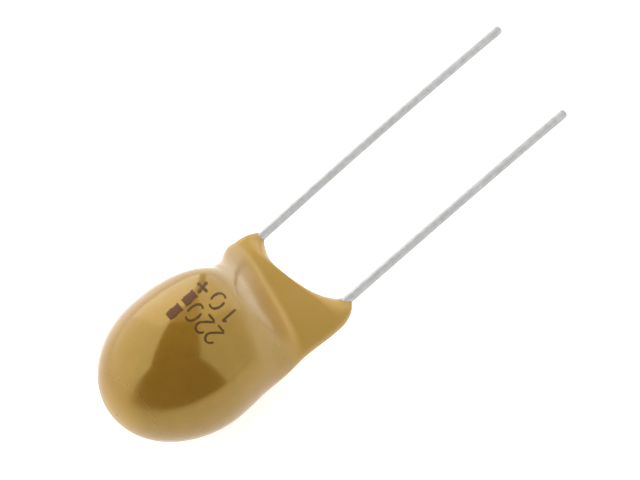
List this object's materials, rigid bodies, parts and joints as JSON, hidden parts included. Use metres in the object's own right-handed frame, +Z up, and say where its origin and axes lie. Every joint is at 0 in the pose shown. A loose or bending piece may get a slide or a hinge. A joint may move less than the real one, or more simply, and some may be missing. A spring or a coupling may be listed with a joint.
{
  "type": "tantalum capacitor",
  "caption": "Resin-dipped bead capacitor with a flattened two-horned neck and a pair of straight wire leads, the positive lead longer.",
  "frame": {"origin": "on the surface the part lies on, under the middle of its outline", "axes": "+X along the leads from the bead to the lead tips, +Y from the negative lead to the positive lead, +Z up. The part lies on the underside of its bead and on both lead tips, so the leads slope down towards their tips by about 6.6 degrees."},
  "size_m": [0.0346, 0.0084, 0.0082],
  "materials": {
    "epoxy": "glossy dipped golden tan epoxy",
    "marking": "dark brown marking",
    "tinned_lead": "matte tinned wire",
    "tantalum_wire": "drawn wire",
    "sintered_tantalum": "porous sintered metal",
    "fluoropolymer": "waxy white",
    "manganese_dioxide": "dull black",
    "graphite": "dull dark grey",
    "silver_paint": "matte silver",
    "solder": "smooth solder"
  },
  "bodies": {
    "root": {"epoxy_coat": "epoxy", "positive_lead": "tinned_lead", "negative_lead": "tinned_lead", "riser_wire": "tantalum_wire", "anode_pellet": "sintered_tantalum", "insulating_washer": "fluoropolymer", "manganese_dioxide_skin": "manganese_dioxide", "graphite_layer": "graphite", "silver_layer": "silver_paint", "cathode_solder": "solder"}
  },
  "joints": []
}
